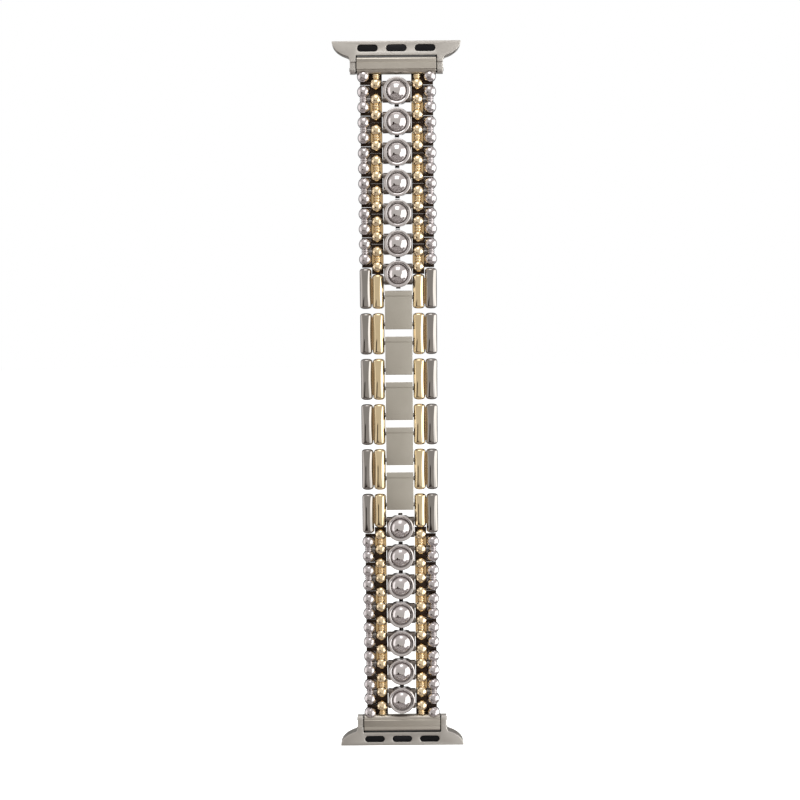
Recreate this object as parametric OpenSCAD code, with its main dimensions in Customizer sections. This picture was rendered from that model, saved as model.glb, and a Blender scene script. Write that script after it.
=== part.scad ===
// Metal watch bracelet: domed and beaded links at both ends, rod links in the middle.
// It hangs straight down from its upper connector. X runs across the bracelet, Z along it,
// and the decorated face looks towards -Y. Every link pin lies on the plane Y = 0.

/* [Layout] */
// Domed centre links in each beaded half
domes_per_half = 7; // [3:1:7]
// Rod rows in the middle stretch
rod_rows = 6; // [2:2:6]
// Distance from one beaded row to the next
bead_pitch = 7.5; // [7.4:0.05:7.8]
// Distance from one rod row to the next
rod_pitch = 11.5; // [11.2:0.1:13]
// Distance between the two pins of a flat centre plate
plate_pin_gap = 6.8; // [6.2:0.1:7]
// Distance from the last rod row's centre to its pin on the domed side
turn_pin_z = 1.575; // [1.4:0.025:1.7]

/* [Columns] */
// Distance from the middle to the centre of the gold column
gold_x = 5.1; // [5.1:0.05:5.2]
// Distance from the gold column to the silver column
column_gap = 3.1; // [3.1:0.05:3.3]

/* [Beads] */
// Diameter of a gold bead
gold_bead_d = 2.95; // [2.6:0.05:3]
// Diameter of a silver bead
silver_bead_d = 3.2; // [2.8:0.05:3.2]
// Diameter of the neck between two beads
neck_d = 1.5; // [1.1:0.1:1.7]
// Diameter of a ring on the neck
neck_ring_d = 2; // [1.8:0.1:2.3]
// Width of a ring on the neck
neck_ring_w = 0.28; // [0.2:0.02:0.3]

/* [Rods] */
// Diameter of a rod
rod_d = 2.94; // [2.6:0.02:2.96]
// Length of a rod
rod_len = 10.1; // [9.6:0.1:10.3]
// Depth of a rod's domed end
rod_dome = 0.9; // [0.6:0.05:1.2]

/* [Domed links] */
// Diameter of the bezel
bezel_d = 6.7; // [6.2:0.1:6.8]
// Width of the bezel's rim
rim_w = 0.55; // [0.4:0.05:0.7]
// Depth of the seat inside the bezel
seat_depth = 0.7; // [0.5:0.05:0.8]
// Height of the dome over its seat
dome_rise = 1.75; // [1.3:0.05:2.2]
// Front face of the bezel's rim, ahead of the pins
bezel_front = 2.25; // [2:0.05:2.6]
// Width of the block under the bezel
block_w = 6.6; // [6:0.1:6.7]
// Radius of the block round a pin
block_r = 1.2; // [1:0.05:1.3]
// Radius of the lugs that reach out to the beads round the pins
lug_r = 0.85; // [0.75:0.05:0.95]

/* [Centre plates] */
// Width of a centre plate
plate_w = 6.85; // [6.2:0.05:6.9]
// Radius of the rolled end round a pin
plate_roll_r = 1.3; // [1.1:0.05:1.35]
// Thickness of the sheet between the rolled ends
plate_t = 0.85; // [0.6:0.05:1]
// Chamfer along the front edges of a plate's folded ends
plate_chamfer = 0.25; // [0.15:0.05:0.35]
// Width and depth of the score line across the plate
score = 0.16; // [0.1:0.02:0.24]

/* [Pins] */
// Diameter of a link pin
pin_d = 1; // [0.8:0.05:1.1]
// Radial clearance of a pin in the row that carries it
pin_fit = 0.02; // [0.01:0.01:0.04]
// Radial clearance of a pin in the link that turns on it
turn_fit = 0.05; // [0.03:0.01:0.1]
// Diameter of the spring bar in the connector
bar_d = 1.5; // [1.3:0.05:1.6]
// Diameter of the spring bar's tips
bar_tip_d = 0.9; // [0.7:0.05:1]

/* [Backs] */
// Front face of the backing plate, behind the pins
back_front = 0.55; // [0.5:0.05:0.7]
// Rear face of the backing plate, behind the pins
back_rear = 1.4; // [1.2:0.05:1.45]
// Radius of the backing round a pin
back_r = 1.8; // [1.7:0.02:1.82]
// Radius of the peg that joins the silver beads to the gold ones
peg_r = 0.2; // [0.15:0.01:0.22]

/* [End links] */
// Width of the end link
end_w = 19.6; // [19.4:0.1:19.8]
// Distance from the last link pin to the spring bar
end_bar_z = 3.525; // [3.3:0.05:3.7]
// Front face of the folded cover, ahead of the pins
cover_front = 1.7; // [1.6:0.05:1.75]
// Thickness of the folded cover
cover_t = 0.8; // [0.6:0.05:0.9]
// Lower edge of the cover, below the spring bar
cover_below = 0.95; // [0.6:0.05:1]
// Upper edge of the cover, above the spring bar
cover_above = 2.9; // [2.6:0.05:2.95]
// Radius of the tube that holds the spring bar
tube_r = 1.2; // [1.05:0.05:1.3]

/* [Connectors] */
// Width of the sliding end at its outer edge
slug_w = 31.8; // [31:0.1:33]
// Depth of the sliding end along the bracelet
slug_len = 3.5; // [3.4:0.1:4]
// Thickness of the sliding end
slug_t = 3; // [2.9:0.1:3.4]
// Radius along the sliding end's long edges
slug_edge = 1.1; // [0.6:0.1:1.3]
// Width across the two arms
arms_w = 23; // [22.9:0.1:23.6]
// Gap between the spring bar and the sliding end's inner edge
slug_gap = 3.2; // [3.2:0.05:3.5]
// Radius of an arm's end round the spring bar
arm_r = 1.15; // [1:0.05:1.3]
// Width of a pill-shaped pocket
pill_w = 5.1; // [4.6:0.1:5.4]
// Height of a pill-shaped pocket
pill_h = 1.65; // [1.5:0.05:1.8]
// Distance between pockets
pill_pitch = 7.1; // [6.6:0.1:7.6]
// Depth of a pad's pocket
pocket_depth = 2.1; // [1.6:0.1:2.3]
// Depth of the pads' faces below the metal
pad_recess = 0.3; // [0.15:0.05:0.5]
// Travel of the lock button
lock_travel = 0.6; // [0.4:0.05:0.7]
// Thickness of the lock button
button_t = 0.8; // [0.6:0.05:0.9]
// Bow of the leaf spring behind the lock button
leaf_bow = 0.45; // [0.35:0.05:0.5]
// Clearance round the lock button
lock_fit = 0.08; // [0.05:0.01:0.1]

/* [Clearances] */
// Side clearance between a turning link and its neighbours
side_gap = 0.25; // [0.2:0.01:0.28]

/* [Hidden] */
$fn = 48;

chrome = "#c9c9cc";
gold = "#d9b45a";
satin = "#b9b6af";
rubber = "#17171a";

silver_x = gold_x + column_gap;
bead_gap = bead_pitch / 2;
pin_z = bead_pitch / 4;
mid_len = rod_rows * rod_pitch;
last_rod_z = mid_len / 2 - rod_pitch / 2;
first_dome_z = last_rod_z + turn_pin_z + pin_z;
end_link_z = first_dome_z + (domes_per_half - 1) * bead_pitch + pin_z;
bar_z = end_link_z + end_bar_z;
slug_low = slug_gap;
slug_mid = slug_low + slug_len / 2;
hang = bar_z + slug_low + slug_len;
pin_reach = gold_x + gold_bead_d / 2 - 0.35;
rod_pin_reach = silver_x - 0.3;
plate_pin_z = plate_pin_gap / 2;
rod_pin_z = rod_pitch / 2 - plate_pin_z;
// Top of the first gold rod, just under the sweep of the gold casting above it.
turn_gold_top = turn_pin_z + bead_gap - back_r - 0.05;
// A beaded row's upper pin ends inside the silver bead's neck.
silver_pin_reach = silver_x + 0.3;
// The gold backing stops short of the silver beads, the silver backing short of the gold ones.
gold_back_edge = silver_x - silver_bead_d / 2 - 0.1;
silver_back_edge = gold_x + gold_bead_d / 2 + 0.105;
silver_outer_edge = silver_x + 1.35;
// Height from a gold backing's middle at which its lips come forward.
lip_z = 2.6;
lock_recess = pad_recess - 0.1;
lock_pocket = lock_recess + button_t + leaf_bow + lock_travel + 0.05;
domes = 2 * domes_per_half;
bead_rows = domes - 2;
plates = rod_rows - 1;
collar_z = 0.2;

function two(i) = i < 10 ? str("0", i) : str(i);
function named(base, count) = [for (i = [1:count]) str(base, two(i))];
function dome_z(i) = i <= domes_per_half
    ? first_dome_z + (domes_per_half - i) * bead_pitch
    : -first_dome_z - (i - domes_per_half - 1) * bead_pitch;
function bead_row_z(i) = i < domes_per_half
    ? dome_z(i) - bead_gap
    : dome_z(i + 1) - bead_gap;
function rod_row_z(i) = last_rod_z - (i - 1) * rod_pitch;
function plate_z(i) = last_rod_z - (i - 0.5) * rod_pitch;

// A piece modelled round z = 0 is set at its place along the hanging bracelet.
module at(z) {
    translate([0, 0, z - hang]) children();
}

// The lower half is the upper half turned over end for end.
module lower_half() {
    translate([0, 0, -hang]) mirror([0, 0, 1]) translate([0, 0, hang]) children();
}

// A row of the lower half is turned over end for end where it lies.
module flip(turned) {
    if (turned) mirror([0, 0, 1]) children();
    else children();
}

// Both sides of the bracelet, built on the +X side.
module both_sides() {
    children();
    mirror([1, 0, 0]) children();
}

// An outline drawn with x across the bracelet's depth and y along it, swept from x = a to x = b.
module across(a, b) {
    translate([a, 0, 0]) rotate([90, 0, 90]) linear_extrude(b - a) children();
}

// A round bar along X from a to b.
module cross_bar(a, b, r) {
    translate([a, 0, 0]) rotate([0, 90, 0]) cylinder(h = b - a, r = r);
}

// A link pin at height z that reaches out to x = reach on both sides.
module row_pin(z, reach) {
    translate([0, 0, z]) cross_bar(-reach, reach, pin_d / 2);
}

// The bore for that pin in a row's +X side.
module row_bore(z, reach) {
    translate([0, 0, z]) cross_bar(gold_x - rod_d, reach + 0.05, pin_d / 2 + pin_fit);
}

// A neck with two rings between two beads, from z = -h to z = h.
module ringed_neck(h) {
    translate([0, 0, -h]) cylinder(h = 2 * h, d = neck_d);
    for (s = [-1, 1])
        translate([0, 0, s * collar_z * 1.15 - neck_ring_w / 2])
            cylinder(h = neck_ring_w, d = neck_ring_d);
}

// Two beads on a neck, round z = 0.
module bead_pair(d) {
    for (s = [-1, 1]) translate([0, 0, s * bead_gap / 2]) sphere(d = d);
    ringed_neck(bead_gap / 2);
}

// Depths that a backing fills: its plate, and a lip towards each end that shades the gap.
module back_depths(low_lip, high_lip) {
    translate([back_front, -bead_pitch]) square([back_rear - back_front, 2 * bead_pitch]);
    translate([0, -bead_pitch]) square([back_rear, bead_pitch + low_lip]);
    translate([0, high_lip]) square([back_rear, bead_pitch - high_lip]);
}

// Outline of the backing behind the gold beads: its ends are arcs round the pins.
module gold_back_outline() {
    intersection() {
        union() {
            for (s = [-1, 1]) translate([0, s * pin_z]) circle(r = back_r);
            translate([-back_r, -pin_z]) square([2 * back_r, 2 * pin_z]);
        }
        back_depths(-lip_z, lip_z);
    }
}

// Outline of the backing behind silver beads, from the peg at z = 0 up to z = high.
// Its lower end stays above the sweep of the next row's uppermost bead, its upper end slopes away.
module silver_back_outline(high) {
    slope = 0.45;
    circle(r = peg_r);
    polygon([
        [0, -peg_r], [0.26, -0.145], [0.59, -0.065], [0.9, 0.035], [back_rear, 0.085],
        [back_rear, high - slope], [back_front, high], [back_front, pin_z - 1.3], [0, pin_z - 1.3]
    ]);
}

// The gold casting of one side of a beaded row.
module gold_side() {
    difference() {
        union() {
            translate([gold_x, 0, 0]) bead_pair(gold_bead_d);
            across(gold_x - 1.2, gold_back_edge) gold_back_outline();
        }
        row_bore(-pin_z, pin_reach);
        row_bore(pin_z, silver_pin_reach);
        translate([0, 0, -pin_z]) cross_bar(pin_reach, silver_x, peg_r + pin_fit);
    }
}

// The silver casting of one side of a beaded row, with the peg that enters the gold one.
module silver_side() {
    high = bead_gap + pin_z + silver_bead_d / 2 - 0.1;
    difference() {
        union() {
            translate([silver_x, 0, bead_gap / 2]) bead_pair(silver_bead_d);
            translate([0, 0, -pin_z]) {
                across(silver_back_edge, silver_outer_edge) silver_back_outline(high);
                cross_bar(pin_reach + 0.1, silver_x, peg_r);
            }
        }
        row_bore(pin_z, silver_pin_reach);
    }
}

// A beaded row: a gold and a silver casting on each side, joined only by the two pins.
module bead_row() {
    color(gold) both_sides() gold_side();
    color(chrome) both_sides() silver_side();
    color(satin) row_pin(-pin_z, pin_reach);
    color(satin) row_pin(pin_z, silver_pin_reach);
}

// Half the outline of a rod with domed ends, for turning about its own axis.
module rod_outline(low, high) {
    r = rod_d / 2;
    dome_r = (r * r + rod_dome * rod_dome) / (2 * rod_dome);
    intersection() {
        translate([0, low]) square([r, high - low]);
        union() {
            translate([0, high - dome_r]) circle(r = dome_r);
            translate([0, low + dome_r]) circle(r = dome_r);
            translate([0, low + rod_dome]) square([r, high - low - 2 * rod_dome]);
        }
    }
}

module rod(low, high) {
    rotate_extrude() rod_outline(low, high);
}

// Places along a rod row: its ends and its pins.
function row_top(first) = first ? turn_gold_top : rod_len / 2;
function row_high_pin(first) = first ? turn_pin_z : rod_pin_z;

// The bores for a rod row's two pins in its +X side.
module rod_bores(first) {
    row_bore(-rod_pin_z, rod_pin_reach);
    row_bore(row_high_pin(first), rod_pin_reach);
}

// The strip that fills the valley behind a gold and a silver rod.
module valley_strip(top) {
    difference() {
        across(gold_x, silver_x)
            translate([back_front, -rod_len / 2 + 1])
                square([back_rear - back_front, top + rod_len / 2 - 2]);
        for (x = [gold_x, silver_x])
            translate([x, 0, -rod_len]) cylinder(h = 2 * rod_len, d = rod_d + 2 * pin_fit);
    }
}

// A rod row without its gold rods: silver rods, strips and the pins that join both sides.
module rod_row(first) {
    color(chrome) both_sides() {
        difference() {
            translate([silver_x, 0, 0]) rod(-rod_len / 2, rod_len / 2);
            rod_bores(first);
        }
        valley_strip(row_top(first));
    }
    color(satin) row_pin(-rod_pin_z, rod_pin_reach);
    color(satin) row_pin(row_high_pin(first), rod_pin_reach);
}

// The gold rods of a rod row.
module gold_rods(first) {
    color(gold) both_sides() difference() {
        translate([gold_x, 0, 0]) rod(-rod_len / 2, row_top(first));
        rod_bores(first);
    }
}

// Outline of the block under a bezel, a bar with both ends round.
module block_outline() {
    for (s = [-1, 1]) translate([0, s * pin_z]) circle(r = block_r);
    translate([-bezel_front + seat_depth + 0.3, -pin_z])
        square([block_r + bezel_front - seat_depth - 0.3, 2 * pin_z]);
}

// A polished dome set in a turned bezel, on a block that turns on two pins.
module dome_link() {
    seat_r = bezel_d / 2 - rim_w;
    dome_r = (seat_r * seat_r + dome_rise * dome_rise) / (2 * dome_rise);
    seat_y = bezel_front - seat_depth;
    color(chrome) difference() {
        union() {
            intersection() {
                across(-block_w / 2, block_w / 2) block_outline();
                rotate([90, 0, 0]) cylinder(h = 8, r = bezel_d / 2 - 0.05, center = true);
            }
            for (s = [-1, 1])
                translate([0, 0, s * pin_z]) cross_bar(-block_w / 2, block_w / 2, lug_r);
            rotate([90, 0, 0]) rotate_extrude() polygon([
                [0, 0.9], [bezel_d / 2 - 0.3, 0.9], [bezel_d / 2, 1.2],
                [bezel_d / 2, bezel_front - 0.2], [bezel_d / 2 - 0.2, bezel_front],
                [seat_r + 0.12, bezel_front], [seat_r, bezel_front - 0.15],
                [seat_r, seat_y], [0, seat_y]
            ]);
        }
        for (s = [-1, 1])
            translate([0, 0, s * pin_z]) cross_bar(-block_w, block_w, pin_d / 2 + turn_fit);
    }
    color(chrome) rotate([90, 0, 0]) translate([0, 0, seat_y + 0.02]) rotate_extrude()
        intersection() {
            translate([0, dome_rise - dome_r]) circle(r = dome_r);
            square([seat_r - 0.03, dome_rise]);
        }
}

// Outline of a plate's sheet: a flat front that stays flat down to its chamfered ends.
module plate_sheet() {
    front = -plate_roll_r;
    end = plate_pin_z + plate_roll_r - 0.04;
    inner = front + plate_t;
    polygon([
        [front, plate_chamfer - end], [front + plate_chamfer, -end], [0, -end], [0, -plate_pin_z],
        [inner, -plate_pin_z], [inner, plate_pin_z], [0, plate_pin_z], [0, end],
        [front + plate_chamfer, end], [front, end - plate_chamfer]
    ]);
}

// A flat sheet folded round a pin at each end, with a score line near its upper end.
module centre_plate() {
    half = plate_w / 2;
    ends = [-plate_pin_z, plate_pin_z];
    color(satin) difference() {
        union() {
            across(-half, half) plate_sheet();
            for (z = ends) translate([0, 0, z]) cross_bar(-half, half, plate_roll_r - 0.02);
        }
        for (z = ends) translate([0, 0, z]) cross_bar(-plate_w, plate_w, pin_d / 2 + turn_fit);
        across(-plate_w, plate_w)
            translate([-plate_roll_r - 1, plate_pin_z - score / 2]) square([1 + score, score]);
    }
}

// Outline of the folded cover and of the tube for the spring bar, round the spring bar.
module cover_outline(grow) {
    inner = cover_front - cover_t - grow;
    circle(r = tube_r + grow);
    translate([-cover_front - grow, -cover_below - grow])
        square([cover_front + grow - inner, cover_above + cover_below + grow - cover_t]);
    translate([-cover_front + cover_t, cover_above - cover_t]) circle(r = cover_t + grow);
    translate([-inner - 0.1, -cover_below - grow]) square([inner + 0.1, cover_below + grow]);
}

// The folded cover and its tube.
module end_cover() {
    translate([0, 0, end_bar_z]) difference() {
        across(-end_w / 2, end_w / 2) cover_outline(0);
        cross_bar(-end_w, end_w, bar_d / 2 + turn_fit);
    }
}

// The space of the cover, which its lugs and ears leave free.
module cover_seat() {
    translate([0, 0, end_bar_z]) across(-end_w, end_w) cover_outline(pin_fit);
}

// The lug behind a gold bead, which holds the first pin.
module end_lug() {
    difference() {
        across(gold_x - 1.2, gold_back_edge) intersection() {
            union() {
                circle(r = back_r);
                translate([-back_r, 0]) square([2 * back_r, end_bar_z]);
            }
            back_depths(pin_z - lip_z, end_bar_z - tube_r - 0.35);
        }
        cover_seat();
        translate([gold_x, 0, 0]) sphere(d = gold_bead_d + 2 * pin_fit);
        row_bore(0, pin_reach);
    }
}

// The ear with the first silver bead.
module end_ear() {
    difference() {
        union() {
            translate([silver_x, 0, pin_z]) sphere(d = silver_bead_d);
            across(silver_back_edge, silver_outer_edge) silver_back_outline(end_bar_z + 0.45);
        }
        cover_seat();
    }
}

// The end link: a folded cover over a tube, with a lug and an ear on each side for the first pin.
module end_link() {
    color(satin) end_cover();
    color(satin) both_sides() end_lug();
    color(chrome) both_sides() end_ear();
    color(satin) row_pin(0, pin_reach);
}

// The gold beads that the first pin passes through.
module end_link_gold_beads() {
    color(gold) both_sides() difference() {
        translate([gold_x, 0, 0]) sphere(d = gold_bead_d);
        cross_bar(gold_x - gold_bead_d, pin_reach + 0.05, pin_d / 2 + pin_fit);
    }
}

// A pill outline of width w and height h.
module pill(w, h) {
    for (s = [-1, 1]) translate([s * (w - h) / 2, 0]) circle(d = h);
    square([w - h, h], center = true);
}

// A pill-shaped solid from the depth a to the depth b behind the pins.
module pill_block(x, a, b, grow) {
    translate([x, b, slug_mid]) rotate([90, 0, 0])
        linear_extrude(b - a) pill(pill_w + 2 * grow, pill_h + 2 * grow);
}

// Outline of the sliding end seen from the front: its ends sweep in and run out along the arms.
module slug_plan() {
    spare = (slug_w - arms_w) / 2;
    sweep_w = spare + 2.8;
    sweep_h = slug_len + 0.7;
    top = slug_low + slug_len;
    last = acos(1 - (spare - 0.6) / sweep_w);
    ends = [for (i = [0:8]) [
        slug_w / 2 - sweep_w * (1 - cos(last * i / 8)), top - sweep_h * sin(last * i / 8)
    ]];
    corner = [arms_w / 2, ends[8][1] - 0.19];
    foot = [arms_w / 2, slug_low - 1.6];
    run_out = [for (i = [1:6]) let (t = i / 6)
        (1 - t) * (1 - t) * ends[8] + 2 * t * (1 - t) * corner + t * t * foot
    ];
    points = concat([[arms_w / 2 - 2, top]], ends, run_out, [[arms_w / 2 - 2, slug_low - 1.6]]);
    polygon(points);
    mirror([1, 0]) polygon(points);
    translate([-arms_w / 2 + 1.5, slug_low]) square([arms_w - 3, slug_len]);
}

// Outline of the sliding end seen from the side, with round long edges.
module slug_side() {
    top = slug_low + slug_len;
    bottom = slug_low - 2;
    intersection() {
        translate([-slug_t / 2, bottom]) square([slug_t, top - bottom]);
        union() {
            for (s = [-1, 1])
                translate([s * (slug_t / 2 - slug_edge), top - slug_edge]) circle(r = slug_edge);
            translate([-slug_t / 2 + slug_edge, top - 2]) square([slug_t - 2 * slug_edge, 2]);
            translate([-slug_t / 2, bottom]) square([slug_t, top - bottom - slug_edge]);
        }
    }
}

// Outline of an arm from the side: a bar with a round end at the spring bar.
module arm_outline() {
    circle(r = arm_r);
    translate([-arm_r, 0]) square([2 * arm_r, slug_low + 0.5]);
}

// The connector's metal body: the sliding end, two arms, three pockets and the bar's holes.
module connector() {
    inner = end_w / 2 + side_gap;
    front = -slug_t / 2;
    color(satin) difference() {
        union() {
            intersection() {
                translate([0, slug_t, 0]) rotate([90, 0, 0])
                    linear_extrude(2 * slug_t) slug_plan();
                across(-slug_w, slug_w) slug_side();
            }
            both_sides() across(inner, arms_w / 2) arm_outline();
        }
        translate([-inner, -slug_t, -slug_low]) cube([2 * inner, 2 * slug_t, 2 * slug_low]);
        for (s = [-1, 1]) pill_block(s * pill_pitch, front - 1, front + pocket_depth, 0);
        pill_block(0, front - 1, front + lock_pocket, 0);
        cross_bar(-arms_w, arms_w, bar_tip_d / 2 + turn_fit);
    }
}

// The two soft pads in the outer pockets.
module connector_pads() {
    front = -slug_t / 2;
    color(rubber) for (s = [-1, 1])
        pill_block(s * pill_pitch, front + pad_recess, front + pocket_depth, -0.01);
}

// The spring bar: a tube with a stepped tip at each end, held by the arms.
module spring_bar() {
    body = end_w / 2;
    color(satin) cross_bar(-body, body, bar_d / 2);
    color(satin) cross_bar(-arms_w / 2 - 0.15, arms_w / 2 + 0.15, bar_tip_d / 2);
}

// The sprung button that locks the connector in its slot.
module lock_button() {
    front = -slug_t / 2 + lock_recess;
    color(rubber) pill_block(0, front, front + button_t, -lock_fit);
}

// The bowed leaf that pushes the button out, clipped to the button's back.
module lock_spring() {
    front = -slug_t / 2 + lock_recess + button_t;
    half_w = pill_w / 2 - 0.5;
    leaf_r = (half_w * half_w + leaf_bow * leaf_bow) / (2 * leaf_bow);
    leaf_t = 0.12;
    color(chrome) intersection() {
        translate([0, front - leaf_r + leaf_bow, slug_mid]) difference() {
            cylinder(h = pill_h * 0.6, r = leaf_r, center = true);
            cylinder(h = pill_h, r = leaf_r - leaf_t, center = true);
        }
        pill_block(0, front, front + leaf_bow + leaf_t, -0.4);
    }
}

module upper_end() {
    at(bar_z) children();
}

module lower_end() {
    lower_half() at(bar_z) children();
}

module dome_link_at(i) {
    at(dome_z(i)) dome_link();
}

module bead_row_at(i) {
    at(bead_row_z(i)) flip(i >= domes_per_half) bead_row();
}

module rod_row_at(i) {
    at(rod_row_z(i)) flip(i == rod_rows) rod_row(i == 1 || i == rod_rows);
}

module gold_rods_at(i) {
    at(rod_row_z(i)) flip(i == rod_rows) gold_rods(i == 1 || i == rod_rows);
}

module centre_plate_at(i) {
    at(plate_z(i)) centre_plate();
}

upper_end() connector();  // upper_connector
upper_end() connector_pads();  // upper_connector_pads
upper_end() spring_bar();  // upper_spring_bar
upper_end() lock_button();  // upper_lock_button
upper_end() lock_spring();  // upper_lock_spring
at(end_link_z) end_link();  // upper_end_link
at(end_link_z) end_link_gold_beads();  // upper_end_link_gold_beads
for (i = [1:domes])
    dome_link_at(i);
for (i = [1:bead_rows])
    bead_row_at(i);
for (i = [1:rod_rows])
    rod_row_at(i);
for (i = [1:rod_rows])
    gold_rods_at(i);
for (i = [1:plates])
    centre_plate_at(i);
lower_half() at(end_link_z) end_link();  // lower_end_link
lower_half() at(end_link_z) end_link_gold_beads();  // lower_end_link_gold_beads
lower_end() connector();  // lower_connector
lower_end() connector_pads();  // lower_connector_pads
lower_end() spring_bar();  // lower_spring_bar
lower_end() lock_button();  // lower_lock_button
lower_end() lock_spring();  // lower_lock_spring
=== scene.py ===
"""Looks of a two-tone metal watch bracelet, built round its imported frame.

The bracelet hangs from its upper connector along -Z and shows its face to -Y. Shapes are drawn in
millimetres round each piece's own centre, with the link pins on y = 0, and are then put in place.
"""

import logging
import math
from dataclasses import dataclass, field
from enum import Enum

import bmesh
import bpy
from mathutils import Matrix, Vector


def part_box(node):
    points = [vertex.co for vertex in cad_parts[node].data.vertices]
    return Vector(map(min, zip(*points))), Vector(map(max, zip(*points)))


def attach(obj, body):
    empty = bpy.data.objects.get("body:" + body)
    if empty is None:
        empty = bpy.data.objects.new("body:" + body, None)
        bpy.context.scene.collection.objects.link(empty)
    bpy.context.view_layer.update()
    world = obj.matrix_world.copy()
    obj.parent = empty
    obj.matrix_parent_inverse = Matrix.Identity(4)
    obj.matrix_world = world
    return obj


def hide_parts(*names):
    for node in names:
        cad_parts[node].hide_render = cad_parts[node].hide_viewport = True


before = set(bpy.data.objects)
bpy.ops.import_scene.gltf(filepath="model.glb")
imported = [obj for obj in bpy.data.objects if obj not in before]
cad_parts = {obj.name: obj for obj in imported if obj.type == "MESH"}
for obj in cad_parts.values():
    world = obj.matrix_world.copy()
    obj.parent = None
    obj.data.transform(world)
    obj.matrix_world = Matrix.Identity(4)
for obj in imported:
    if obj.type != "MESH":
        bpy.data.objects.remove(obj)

LOG = logging.getLogger("bracelet")
MM = 0.001
Point = tuple[float, float]
Corner = tuple[float, float, float]


class Axis(Enum):
    """A direction that a turned or extruded shape follows."""

    X = (1.0, 0.0, 0.0)
    Y = (0.0, 1.0, 0.0)
    Z = (0.0, 0.0, 1.0)


class Half(Enum):
    """Which half of the bracelet a piece is in, and so which way up it is."""

    UPPER = 1
    LOWER = -1

    @property
    def side(self) -> str:
        """How the names of this half's solids begin."""
        return self.name.lower()


def linear_colour(hex_text: str) -> tuple[float, float, float, float]:
    """Turns an sRGB hex colour into the linear colour that a shader takes.

    Args:
        hex_text: A colour such as "#C0C0C0".

    Returns:
        Linear red, green and blue with full alpha.
    """
    digits = hex_text.lstrip("#")
    channels = [int(digits[i:i + 2], 16) / 255 for i in (0, 2, 4)]
    linear = [c / 12.92 if c <= 0.04045 else ((c + 0.055) / 1.055) ** 2.4 for c in channels]
    return linear[0], linear[1], linear[2], 1.0


def add_node(tree: bpy.types.NodeTree, kind: str, links: dict | None = None, **settings) -> bpy.types.Node:
    """Adds one node with its settings and links.

    Args:
        tree: The node tree that gets the node.
        kind: Blender's type name of the node.
        links: Input name or index to an output socket, or to the value it holds.
        **settings: Properties of the node itself.

    Returns:
        The new node.
    """
    node = tree.nodes.new(kind)
    for key, value in settings.items():
        setattr(node, key, value)
    for key, value in (links or {}).items():
        if isinstance(value, bpy.types.NodeSocket):
            tree.links.new(value, node.inputs[key])
        else:
            node.inputs[key].default_value = value
    return node


def per_mm(size_mm: float) -> float:
    """Noise scale on object coordinates whose features are size_mm across."""
    return 1 / (size_mm * MM)


@dataclass(frozen=True)
class Leads:
    """The noises that lead a finish: its tint, its dullness over a span of values, and its relief."""

    tint: bpy.types.NodeSocket
    dull: bpy.types.NodeSocket
    span: Point
    relief: bpy.types.NodeSocket
    depth_mm: float


@dataclass(frozen=True)
class Finish:
    """A finish that varies with noises on object coordinates. It is metal unless its kind says otherwise."""

    name: str
    slot: str
    colour: str
    shade: str
    smooth: float
    rough: float

    def leads(self, tree: bpy.types.NodeTree, place: bpy.types.NodeSocket) -> Leads:
        """The noises of this kind of finish."""
        raise NotImplementedError

    def trim(self, shader: bpy.types.Node) -> None:
        """Sets what else this kind of finish needs."""
        shader.inputs["Metallic"].default_value = 1.0

    def make(self) -> bpy.types.Material:
        """Builds the material: tint drifts between two colours, dullness between two roughnesses.

        Returns:
            The material.
        """
        material = bpy.data.materials.new(self.name)
        material.use_nodes = True
        tree = material.node_tree
        shader = tree.nodes["Principled BSDF"]
        lead = self.leads(tree, add_node(tree, "ShaderNodeTexCoord").outputs["Object"])
        tint = add_node(
            tree, "ShaderNodeMix", {0: lead.tint, 6: linear_colour(self.colour), 7: linear_colour(self.shade)},
            data_type="RGBA",
        )
        dull = add_node(
            tree, "ShaderNodeMapRange",
            {"Value": lead.dull, "From Min": lead.span[0], "From Max": lead.span[1],
             "To Min": self.smooth, "To Max": self.rough},
        )
        bump = add_node(
            tree, "ShaderNodeBump", {"Height": lead.relief, "Distance": lead.depth_mm * MM, "Strength": 1.0},
        )
        tree.links.new(tint.outputs[2], shader.inputs["Base Color"])
        tree.links.new(dull.outputs["Result"], shader.inputs["Roughness"])
        tree.links.new(bump.outputs["Normal"], shader.inputs["Normal"])
        self.trim(shader)
        return material


@dataclass(frozen=True)
class PolishedPlate(Finish):
    """Polished plating over a cast link: a mirror with the faint waves that casting leaves."""

    smooth: float = 0.04
    rough: float = 0.1
    wave_mm: float = 0.5
    wave_depth_mm: float = 0.05
    drift_mm: float = 3.2
    smear_mm: float = 0.6

    def leads(self, tree: bpy.types.NodeTree, place: bpy.types.NodeSocket) -> Leads:
        """A slow drift of the tint, smears that dull the mirror, and waves."""
        drift, smear, wave = (
            add_node(tree, "ShaderNodeTexNoise", {"Vector": place, "Scale": per_mm(size), "Detail": detail})
            for size, detail in ((self.drift_mm, 2.0), (self.smear_mm, 4.0), (self.wave_mm, 2.0))
        )
        return Leads(
            drift.outputs["Fac"], smear.outputs["Fac"], (0.35, 0.7), wave.outputs["Fac"], self.wave_depth_mm,
        )


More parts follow.
